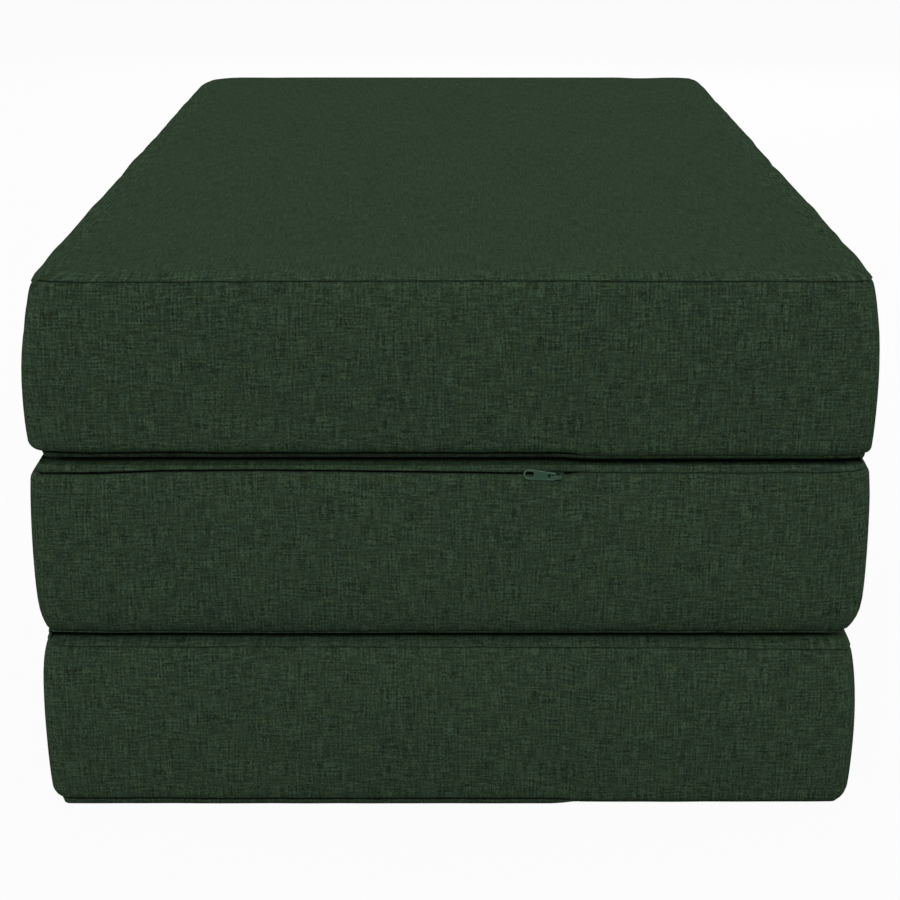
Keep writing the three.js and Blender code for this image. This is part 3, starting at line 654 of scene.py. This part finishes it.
class Nodes:
    """The nodes of a material or a world, made and linked by short calls."""

    def __init__(self, owner, shader="Principled BSDF"):
        owner.use_nodes = True
        self.owner = owner
        self.tree = owner.node_tree
        self.shader = self.tree.nodes[shader]

    def new(self, kind, **values):
        node = self.tree.nodes.new("ShaderNode" + kind)
        for key, value in values.items():
            setattr(node, key, value)
        return node

    def feed(self, socket, value):
        if isinstance(value, bpy.types.NodeSocket):
            self.tree.links.new(value, socket)
        else:
            socket.default_value = value

    def shade(self, **values):
        """Sets or feeds the shader's own sockets, spaces in their names as underscores."""
        for key, value in values.items():
            self.feed(self.shader.inputs[key.replace("_", " ")], value)

    def filled(self, node, *values, **named):
        """A node's first output, after its first inputs and those named are fed."""
        for key, value in (*enumerate(values), *named.items()):
            self.feed(node.inputs[key], value)
        return node.outputs[0]

    def made(self, kind, *values, **named):
        return self.filled(self.new(kind), *values, **named)

    def math(self, operation, *values):
        return self.filled(self.new("Math", operation=operation), *values)

    def sine(self, way, length):
        """A wave from -1 to 1 along a coordinate."""
        return self.math("SINE", self.math("MULTIPLY", way, 2 * math.pi / length))

    def range(self, *values):
        """A value, the range that it is in, and the range that it goes to, 0 to 1 if not given."""
        return self.made("MapRange", *values)

    def noise(self, vector, scale, detail, rough):
        return self.made("TexNoise", Vector=vector, Scale=scale, Detail=detail, Roughness=rough)

    def blotches(self, vector, size, detail, rough, move=(0, 0)):
        """Noise whose blotches have a size across and along, in millimetres."""
        scale = (1 / (size[0] * MM), 1 / (size[1] * MM), 1)
        place = self.made("Mapping", Vector=vector, Scale=scale, Location=(*move, 0))
        return self.noise(place, 1.0, detail, rough)

    def mix(self, share, a, b):
        """Mixes colours, which are the node's inputs 6 and 7 and its output 2."""
        node = self.new("Mix", data_type="RGBA")
        for key, value in ((0, share), (6, a), (7, b)):
            self.feed(node.inputs[key], value)
        return node.outputs[2]

    def bump(self, height, distance, strength):
        return self.made("Bump", Height=height, Distance=distance, Strength=strength)

    def weave(self):
        """The weave coordinates, whole and split into across and along."""
        uv = self.new("UVMap", uv_map="cloth").outputs[0]
        split = self.new("SeparateXYZ")
        return uv, self.filled(split, uv), split.outputs[1]

    def spot(self):
        return self.new("TexCoord").outputs["Object"]

    def white_where(self, seen, kind, output):
        """Mixes plain white in by the share seen, so that no more light falls on the object."""
        white = self.made(kind, Color=(1, 1, 1, 1), Strength=1.0)
        both = self.made("MixShader", seen, self.shader.outputs[0], white)
        self.feed(self.tree.nodes[output].inputs["Surface"], both)

    def background_rays(self):
        """1 for the rays that show the background: the camera's, and those in gloss and glass."""
        path = self.new("LightPath").outputs
        mirrored = self.math("MAXIMUM", path["Is Glossy Ray"], path["Is Transmission Ray"])
        return self.math("MAXIMUM", path["Is Camera Ray"], mirrored)


def linear(*rgb):
    """A screen colour from 0 to 255 as a linear one."""
    shares = [c / 255 for c in rgb]
    return (*(c / 12.92 if c <= 0.04045 else ((c + 0.055) / 1.055) ** 2.4 for c in shares), 1.0)


YARN_PITCH = 0.95 * MM
YARN_CONTRAST = 3.1
FLAT_CALM = 0.5


def cloth_material():
    """Linen-look plain weave: yarns with thick and thin places and heathered fibres both ways."""
    n = Nodes(bpy.data.materials.new("cover_weave"))
    uv, u, v = n.weave()
    # Which yarn lies on top at a crossing, from two sines
    crossing = n.math("MULTIPLY", n.sine(u, 2 * YARN_PITCH), n.sine(v, 2 * YARN_PITCH))
    warp_on_top = n.range(crossing, -0.35, 0.35)
    # Thick and thin places along the yarns, about zero
    warp = n.math("SUBTRACT", n.blotches(uv, (1.5, 22), 2.0, 0.6), 0.5)
    weft = n.math("SUBTRACT", n.blotches(uv, (16, 1.5), 2.0, 0.6, (3.1, 7.7)), 0.5)
    grain = n.math("SUBTRACT", n.blotches(uv, (1.9, 1.9), 1.0, 0.6, (9.2, 1.4)), 0.5)
    patch = n.blotches(uv, (16, 16), 2.0, 0.55, (5.5, 2.2))
    slow = n.blotches(uv, (90, 90), 2.0, 0.5, (1.5, 4.2))
    upper = n.math("MULTIPLY", warp_on_top, warp)
    lower = n.math("MULTIPLY", n.math("SUBTRACT", 1.0, warp_on_top), weft)
    even = n.math("MULTIPLY", n.math("ADD", warp, weft), 0.5)
    yarns = n.math("ADD", even, n.math("ADD", upper, lower))
    tone = n.math("MULTIPLY_ADD", yarns, 1.8, n.math("MULTIPLY", grain, 1.7))
    tone = n.math("MULTIPLY", tone, n.range(patch, 0.3, 0.7, 0.55, 1.5))
    tone = n.math("MULTIPLY_ADD", n.math("SUBTRACT", slow, 0.5), 0.10, tone)
    # A stretched, leaned-on face is calmer than the walls
    flat = n.new("Attribute", attribute_name="flat").outputs["Fac"]
    tone = n.math("MULTIPLY", tone, n.range(flat, 0.0, 1.0, 1.0, 1.0 - FLAT_CALM))
    level = n.math("POWER", YARN_CONTRAST, n.math("MINIMUM", tone, 0.5))
    base = n.mix(n.range(slow, 0.35, 0.65), linear(45, 60, 45), linear(46, 61, 45))
    # Yellowish and bluish places
    hue = n.blotches(uv, (8, 8), 3.0, 0.6, (2.7, 8.4))
    base = n.mix(n.range(hue, 0.52, 0.72, 0.0, 0.7), base, linear(50, 62, 42))
    base = n.mix(n.range(hue, 0.48, 0.28, 0.0, 0.7), base, linear(42, 59, 48))
    colour = n.filled(n.new("VectorMath", operation="SCALE"), base, Scale=level)
    relief = n.math("MULTIPLY_ADD", n.math("ABSOLUTE", crossing), 0.5, n.math("MULTIPLY", tone, 0.8))
    n.shade(
        Base_Color=colour,
        Normal=n.bump(relief, 0.12 * MM, 0.6),
        Roughness=n.range(level, 0.5, 1.6, 0.95, 0.84),
        Specular_IOR_Level=0.0,
        Sheen_Weight=0.004,
        Sheen_Roughness=0.6,
        Sheen_Tint=linear(120, 140, 118),
    )
    return n.owner


def foam_material():
    """Pale foam with open pores and slightly yellowed places."""
    n = Nodes(bpy.data.materials.new("foam_cells"))
    cells = n.made("TexVoronoi", Vector=n.spot(), Scale=620)
    pores = n.range(cells, 0.1, 0.7)
    light = n.math("MULTIPLY_ADD", n.noise(n.spot(), 9, 3, 0.6), 0.5, n.math("MULTIPLY", pores, 0.4))
    colour = n.mix(light, linear(206, 190, 150), linear(236, 226, 198))
    n.shade(Base_Color=colour, Normal=n.bump(pores, 0.3 * MM, 0.5), Roughness=0.95)
    return n.owner


def tape_material():
    """Zip tape, knitted in fine ribs."""
    n = Nodes(bpy.data.materials.new("zip_tape_rib"))
    uv, u, v = n.weave()
    knit = n.math("MULTIPLY", n.sine(u, 0.8 * MM), n.sine(v, 0.6 * MM))
    tone = n.math("MULTIPLY_ADD", knit, 0.2, n.noise(uv, 900, 2.0, 0.6))
    colour = n.mix(n.range(tone, 0.2, 0.8), linear(27, 38, 28), linear(44, 58, 44))
    n.shade(Base_Color=colour, Normal=n.bump(knit, 0.15 * MM, 0.6), Roughness=0.85)
    return n.owner


def coil_material():
    """Nylon of the zip's coil, smoother than the cloth."""
    n = Nodes(bpy.data.materials.new("zip_coil_nylon"))
    haze = n.noise(n.spot(), 700, 2, 0.5)
    n.shade(Base_Color=n.mix(haze, linear(34, 47, 36), linear(52, 68, 53)))
    n.shade(Roughness=n.range(haze, 0.2, 0.8, 0.32, 0.5))
    return n.owner


def metal_material():
    """Zip metal painted to match, with a painted highlight along its brighter, smoother edges."""
    n = Nodes(bpy.data.materials.new("zip_painted_metal"))
    speck = n.noise(n.spot(), 2400, 2, 0.6)
    cloud = n.noise(n.spot(), 260, 3, 0.55)
    # Edges show where a rounded normal leaves the true one
    rounded = n.made("Bevel", Radius=0.7 * MM)
    true = n.new("NewGeometry").outputs["True Normal"]
    facing = n.new("VectorMath", operation="DOT_PRODUCT")
    n.filled(facing, rounded, true)
    edge = n.math("SUBTRACT", 1.0, facing.outputs["Value"])
    # Painted highlight: a pale colour along the edges, patchy by the cloud, stands in for the light they
    # catch
    painted_highlight = n.math("MULTIPLY", n.range(edge, 0.01, 0.12), n.range(cloud, 0.35, 0.65, 0.6, 1.0))
    paint = n.mix(cloud, linear(35, 62, 45), linear(43, 71, 53))
    n.shade(
        Base_Color=n.mix(painted_highlight, paint, linear(108, 138, 120)),
        Roughness=n.range(n.math("ADD", speck, painted_highlight), 0.3, 1.3, 0.42, 0.3),
        Normal=n.bump(speck, 0.03 * MM, 0.4),
        Metallic=0.25,
        Specular_IOR_Level=0.2,
    )
    return n.owner


MATERIALS = {"cloth": cloth_material(), "foam": foam_material(), "tape": tape_material(),
             "coil": coil_material(), "metal": metal_material()}


def dress(piece, material):
    """Gives a piece its material."""
    piece.data.materials.append(MATERIALS[material])


# Zip tapes and coil, all round the zip


def zip_line(p):
    """The zip's centre line: offset and height at all stations, the stations that it passes, in
    order and a little past the slot's ends, and which stations aren't at the slider's end."""
    on = p.zipped > 0.0
    on = on | np.roll(on, 1) | np.roll(on, -1)
    start = next(k for k in range(STATIONS) if on[k] and not on[k - 1])
    run = ((start + np.arange(STATIONS)) % STATIONS)[:on.sum()]
    behind = np.maximum(p.zip_in, FRAME_EDGE["zip_in"] * MM) + CHAIN_BEHIND_RIM
    offset = -(behind + LENS_DEPTH * p.lens)
    return offset, p.rim_h + p.slot / 2, run, OUT_Y * p.slider_y < FACING


def zip_tapes(p, move):
    """The two tapes, and the cord that the coil is wound round."""
    offset, height, run, other = zip_line(p)
    # The tapes part for the chain, and meet where the chain has ended
    past = (p.x > PARK_X + SLIDER_REACH) & ~other
    half_chain = np.where(past, TAPES_MEET, CHAIN_HALF)
    room = np.clip(height - p.tape_low, half_chain + TAPE_LEAST, TAPE_LOW)
    coiled = run[((p.x < PARK_X - SLIDER_REACH) | other)[run]]
    at = np.zeros(STATIONS)
    at[run[1:]] = np.cumsum(STEP[run[:-1]])
    built = Builder()
    for near, far, half_thick, on in (
        (half_chain, np.full(STATIONS, TAPE_HIGH), TAPE_HALF, run),
        (-half_chain, -room, TAPE_HALF, run),
        (np.full(STATIONS, -CORD_HALF), np.full(STATIONS, CORD_HALF), CORD_DEEP, coiled),
    ):
        lines = []
        for side, level in ((-1, near), (1, near), (1, far), (-1, far)):
            points = ring(offset + side * half_thick, height + level)[on]
            lines.append(built.add(points, np.column_stack([at, np.abs(level - near)])[on]))
        for a, b in zip(lines, lines[1:] + lines[:1]):
            built.quads(np.column_stack([a[:-1], b[:-1], b[1:], a[1:]]))
        for end in (0, -1):
            built.quads([[line[end] for line in lines]])
    return built.build(f"{p.name}_zip_tapes", move)


COIL_PITCH = 1.5 * MM
COIL_HALF = 2.2 * MM
COIL_THICK = 0.55 * MM
COIL_OUT = 0.25 * MM
COIL_LEAN = 0.18 * MM
COIL_SIDES = 6
# Places up a rib and its thickness there, with its ends drawn in
COIL_RIB = ((-1.0, 0.35), (-0.9, 0.85), (0.0, 1.0), (0.9, 0.85), (1.0, 0.35))


def zip_coil(p, move):
    """Coil ribs across the zip, each a short bar with round ends, at a real coil's pitch."""
    offset, height, run, _ = zip_line(p)
    line = ring(offset, height)[run]
    gaps = np.linalg.norm(np.diff(line[:, :2], axis=0), axis=1)
    at = np.concatenate([[0.0], np.cumsum(gaps)])
    places = np.arange(COIL_PITCH, at[-1] - COIL_PITCH, COIL_PITCH)
    level = np.zeros(len(places))
    centre = np.column_stack([np.interp(places, at, line[:, k]) for k in range(3)])
    normal = np.column_stack([np.interp(places, at, STATION_N[run, k]) for k in range(2)])
    normal /= np.linalg.norm(normal, axis=1)[:, None]
    outward = np.column_stack([normal, level])
    tangent = np.column_stack([-normal[:, 1], normal[:, 0], level])
    clear = (p.turned * centre[:, 0] < PARK_X - SLIDER_REACH) | (centre[:, 1] * p.slider_y < 0)
    share, size = np.repeat(COIL_RIB, COIL_SIDES, axis=0).T[..., None]
    angle = np.tile(np.arange(COIL_SIDES), len(COIL_RIB))[:, None] * 2 * math.pi / COIL_SIDES
    out = np.cos(angle) * COIL_THICK * size + COIL_OUT
    side = np.sin(angle) * COIL_THICK * size * 0.95
    built = Builder()
    for k in np.nonzero(clear)[0]:
        lean = COIL_LEAN if k % 2 else -COIL_LEAN
        rib = centre[k] + outward[k] * out + tangent[k] * (side + lean * share)
        rings = built.add(rib + share * (0, 0, COIL_HALF), np.zeros((len(rib), 2)))
        rings = rings.reshape(len(COIL_RIB), COIL_SIDES)
        for a, b in zip(rings, rings[1:]):
            built.bridge(a, b)
        for end in rings[[0, -1]]:
            built.quads([end[[0, 1, 2, 3]], end[[0, 3, 4, 5]]])
    return built.build(f"{p.name}_zip_coil", move)


# Cloth simulation of each panel's coarse skin, whose swelling the finished covers take over

SKIN_CELL = 13 * MM
SKIN_SHAKE = 0.25 * MM
# noise_vector follows a seed, which Blender takes from the clock unless it is set
SKIN_SEED = 1
SKIN_FRAMES = 20
SKIN_CLOTH = dict(
    quality=5, mass=0.3, tension_stiffness=40, compression_stiffness=40, shear_stiffness=12,
    bending_stiffness=2.5, use_pressure=True, uniform_pressure_force=4, shrink_min=-0.012,
    vertex_group_mass="seams",
)
SPREAD = 2.4 * SKIN_CELL
# Caps on the covers' moves, for all points and for the walls, and how they fade at the edges
SWELL_CAP = 2.6 * MM
WALL_SWELL = 0.5 * MM
SWELL_FADE = 16 * MM
SEAT_SWELL = 0.4


def skin_mesh(seed):
    """A panel's coarse closed skin, a little uneven so that it swells like cloth."""
    noise.seed_set(SKIN_SEED)
    size = np.array([2 * HALF_X, 2 * HALF_Y, THICK])
    across, along, up = counts = np.array([round(length / SKIN_CELL) for length in size])
    to_x, to_y, to_z = np.eye(3, dtype=int)
    bm = bmesh.new()
    index = {}

    def vertex(key):
        if key not in index:
            place = (key / counts - (0.5, 0.5, 0)) * size
            shake = SKIN_SHAKE * np.array(noise.noise_vector(place * 60 + (0, 0, seed)))
            index[key] = bm.verts.new(Vector(place) + Vector(shake))
        return index[key]

    def quad(start, step, turn, flip):
        corners = [vertex(tuple(start + move)) for move in (0 * step, step, step + turn, turn)]
        bm.faces.new(corners[::-1] if flip else corners)

    for i, j in np.ndindex(across, along):
        quad((i, j, 0), to_x, to_y, True)
        quad((i, j, up), to_x, to_y, False)
    for k in range(up):
        for i in range(across):
            quad((i, 0, k), to_x, to_z, False)
            quad((i, along, k), to_x, to_z, True)
        for j in range(along):
            quad((0, j, k), to_y, to_z, True)
            quad((across, j, k), to_y, to_z, False)
    mesh = bpy.data.meshes.new("skin")
    bm.to_mesh(mesh)
    bm.free()
    return mesh


def swollen(p):
    """How a simulated cover moves: a function from points in the panel's frame to their moves."""
    skin = placed("skin", skin_mesh(p.seed))
    rest = np.array([v.co for v in skin.data.vertices])
    near = SKIN_CELL / 3
    edge = np.minimum(np.abs(rest[:, 2]), np.abs(rest[:, 2] - THICK)) < near
    side_x = np.abs(np.abs(rest[:, 0]) - HALF_X) < near
    side_y = np.abs(np.abs(rest[:, 1]) - HALF_Y) < near
    pinned = skin.vertex_groups.new(name="seams")
    pinned.add(np.nonzero(edge & (side_x | side_y))[0].tolist(), 1.0, "REPLACE")
    pinned.add(np.nonzero(side_x & side_y & ~edge)[0].tolist(), 0.6, "REPLACE")
    cloth = skin.modifiers.new("Cloth", "CLOTH")
    for key, value in SKIN_CLOTH.items():
        setattr(cloth.settings, key, value)
    cloth.settings.effector_weights.gravity = 0
    cloth.point_cache.frame_start, cloth.point_cache.frame_end = 1, SKIN_FRAMES
    for number in range(1, SKIN_FRAMES + 1):
        scene.frame_set(number)
    view = bpy.context.evaluated_depsgraph_get()
    moved = np.array([v.co for v in skin.evaluated_get(view).data.vertices]) - rest
    scene.frame_set(1)
    bpy.data.objects.remove(skin)
    tree = kdtree.KDTree(len(rest))
    for k, point in enumerate(rest):
        tree.insert(point, k)
    tree.balance()

    def move_of(points):
        out = np.zeros_like(points)
        for k, point in enumerate(points):
            near = tree.find_range(point, SPREAD)
            weights = np.array([(1 - distance / SPREAD) ** 2 for _, _, distance in near])
            which = [number for _, number, _ in near]
            out[k] = weights @ moved[which] / weights.sum()
        return out

    return move_of


def mover(p, swell):
    """Moves a piece's points by the simulated swell, then to the row frame."""
    face_share = SEAT_SWELL if p.name == "top" else 0.0

    def move(points):
        shift = swell(points)
        size = np.linalg.norm(shift, axis=1)
        shift *= (np.minimum(size, SWELL_CAP) / np.maximum(size, 1e-9))[:, None]
        # Walls swell only a little, so that they meet side by side when the folds open
        for axis, half in ((0, HALF_X), (1, HALF_Y)):
            outward = shift[:, axis] * np.sign(points[:, axis])
            wall = smooth((np.abs(points[:, axis]) - half) / SWELL_FADE + 1)
            held = np.where(outward > 0, WALL_SWELL * np.tanh(outward / WALL_SWELL), outward)
            shift[:, axis] = (outward + wall * (held - outward)) * np.sign(points[:, axis])
        # A face that rests on something stays flat there
        shift[:, 2] *= smooth(points[:, 2] / SWELL_FADE)
        shift[:, 2] *= 1 - (1 - face_share) * smooth((points[:, 2] - THICK) / SWELL_FADE + 1)
        return p.world(points + shift)

    return move


for name in PANELS:
    p = Panel(name)
    move = mover(p, swollen(p))
    face = covered_sheet(f"{name}_face_cloth", face_profile(p), p, True, move)
    base = covered_sheet(f"{name}_base_cloth", base_profile(p), p, False, move)
    band = band_sheet(f"{name}_band_cloth", band_profile(p), move)
    foam = foam_block(f"{name}_foam", p, move)
    tapes = zip_tapes(p, p.world)
    coil = zip_coil(p, p.world)
    for piece, material, node in (
        (face, "cloth", "face_sheet"), (base, "cloth", "base_sheet"), (band, "cloth", "side_band"),
        (foam, "foam", "foam_core"), (tapes, "tape", "zip_chain"), (coil, "coil", "zip_chain"),
    ):
        dress(piece, material)
        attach(piece, f"{name}_panel")
        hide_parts(f"{name}_{node}")
    for part in ("zip_slider", "zip_pull"):
        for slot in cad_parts[f"{name}_{part}"].material_slots:
            slot.material = MATERIALS["metal"]


# Cloth folds between the panels

# Lower half of a fold's outer line, in millimetres: offset from the nominal wall, and height
FOLD_LINE = ((-7.2, -5.6), (-3.9, -5.5), (-3.4, -4.6), (-3.5, -3.4), (-4.0, -2.2), (-4.6, -1.1))
FOLD_MIDDLE = (-4.9, 0.0)
FOLD_HALF = 5.6
FOLD_CLOTH = 0.9
FOLD_INNER = 0.86
FOLD_SECTIONS = 96
FOLD_SHORT = 12 * MM
FOLD_END = 14 * MM
FOLD_BEND = 4 * MM
# Its puckers' size, their number in a metre, and how its ends draw in
FOLD_PUCKER = 0.6
FOLD_WAVES = 14
FOLD_DRAWN = 2.2
FOLD_LOW = 0.75


def fold_strip(name, side, level):
    """A strip of cover cloth from one panel's seam to the other's, dipping in at the fold line.
    side is -1 on the left and 1 on the right, level the height of the fold line."""
    built = Builder()
    outer = [*FOLD_LINE, FOLD_MIDDLE, *((o, -h) for o, h in reversed(FOLD_LINE))]
    loop = outer + [(o - FOLD_CLOTH, h * FOLD_INNER) for o, h in reversed(outer)]
    span = HALF_Y - FOLD_SHORT
    sections = []
    for y in np.linspace(-span, span, FOLD_SECTIONS):
        pucker = noise.noise((y * FOLD_WAVES, side * 3.3, 0.4)) * FOLD_PUCKER
        end = smooth((span - abs(y)) / FOLD_END)
        points, uv = [], []
        for number, (o, h) in enumerate(loop):
            offset = o + pucker * (1 - abs(h) / FOLD_HALF) - FOLD_DRAWN * (1 - end)
            up = h * MM * (FOLD_LOW + (1 - FOLD_LOW) * end)
            points.append((side * (HALF_X + offset * MM), y, level + up))
            uv.append((y, number * 1.2 * MM))
        sections.append(built.add(points, uv))
    for a, b in zip(sections, sections[1:]):
        built.bridge(a, b)
    last = len(loop) - 1
    for end in (sections[0], sections[-1]):
        built.quads([(end[k], end[k + 1], end[last - 1 - k], end[last - k]) for k in range(len(outer) - 1)])
    return built.build(name)


for name, a, b, side in (("lower", "bottom", "middle", -1), ("upper", "middle", "top", 1)):
    level = FOLD_LEVEL[name]
    strip = fold_strip(f"{name}_fold_cloth", side, level)
    dress(strip, "cloth")
    # Each strip's place is baked into its mesh; the ends of its bend are worked out but not used
    low_end, high_end = ((side * HALF_X, 0, level + bend) for bend in (-FOLD_BEND, FOLD_BEND))
    if side < 0:
        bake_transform(strip)
        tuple(low_end)
        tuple(high_end)
    else:
        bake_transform(strip)
        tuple(high_end)
        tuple(low_end)
    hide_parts(f"{name}_fold_leaf_{a}", f"{name}_fold_leaf_{b}")


# Floor, light and camera

FLOOR_REACH = 30.0
FLOOR_BELOW = 0.4 * MM
FLOOR_WHITE = 0.95
WORLD_LIGHT = 0.25
CAMERA_LENS = 65.9
CAMERA_SHIFT = -0.21
CAMERA_PLACE = (0, -HALF_Y - 1.192, 0.798)
CAMERA_PITCH = math.radians(15.42)

scene.view_settings.view_transform = "Standard"


def make_floor():
    """A plain pale floor, white where it is seen, that keeps its share of shadow."""
    n = Nodes(bpy.data.materials.new("studio_floor"))
    n.shade(Base_Color=(0.55, 0.55, 0.55, 1), Roughness=1.0, Specular_IOR_Level=0.0)
    seen = n.math("MULTIPLY", n.background_rays(), FLOOR_WHITE)
    n.white_where(seen, "Emission", "Material Output")
    corners = [(x * FLOOR_REACH, y * FLOOR_REACH, 0) for x, y in ((-1, -1), (1, -1), (1, 1), (-1, 1))]
    mesh = bpy.data.meshes.new("floor")
    mesh.from_pydata(corners, [], [(0, 1, 2, 3)])
    mesh.materials.append(n.owner)
    placed("floor", mesh, (0, 0, -FLOOR_BELOW))


def make_world():
    """Soft even light, and white where it is seen past the floor."""
    scene.world = bpy.data.worlds.new("studio")
    n = Nodes(scene.world, "Background")
    n.shade(Color=(1, 1, 1, 1), Strength=WORLD_LIGHT)
    n.white_where(n.background_rays(), "Background", "World Output")


def area(name, place, target, size, energy):
    data = bpy.data.lights.new(name, "AREA")
    data.shape = "RECTANGLE"
    data.size, data.size_y = size
    data.energy = energy
    facing = (Vector(target) - Vector(place)).to_track_quat("-Z", "Y")
    placed(name, data, place).rotation_euler = facing.to_euler()


def make_camera():
    data = bpy.data.cameras.new("camera")
    data.lens = CAMERA_LENS
    data.shift_y = CAMERA_SHIFT
    scene.camera = placed("camera", data, CAMERA_PLACE)
    scene.camera.rotation_euler = (math.pi / 2 - CAMERA_PITCH, 0, 0)


make_floor()
make_world()
area("top_panel", (0, 0, 3.4), (0, 0, 0.4), (3.6, 3.6), 21)
area("front_panel", (-0.9, -12.0, 12.0), (0, 0, 0.2), (10.0, 5.8), 1670)
area("rear_panel", (0.4, 3.4, 1.3), (0, 0, 0.25), (3.0, 1.6), 42)
area("left_panel", (-3.2, 0, 1.2), (0, 0, 0.25), (1.6, 3.0), 34)
area("right_panel", (3.2, 0, 1.2), (0, 0, 0.25), (1.6, 3.0), 34)
make_camera()
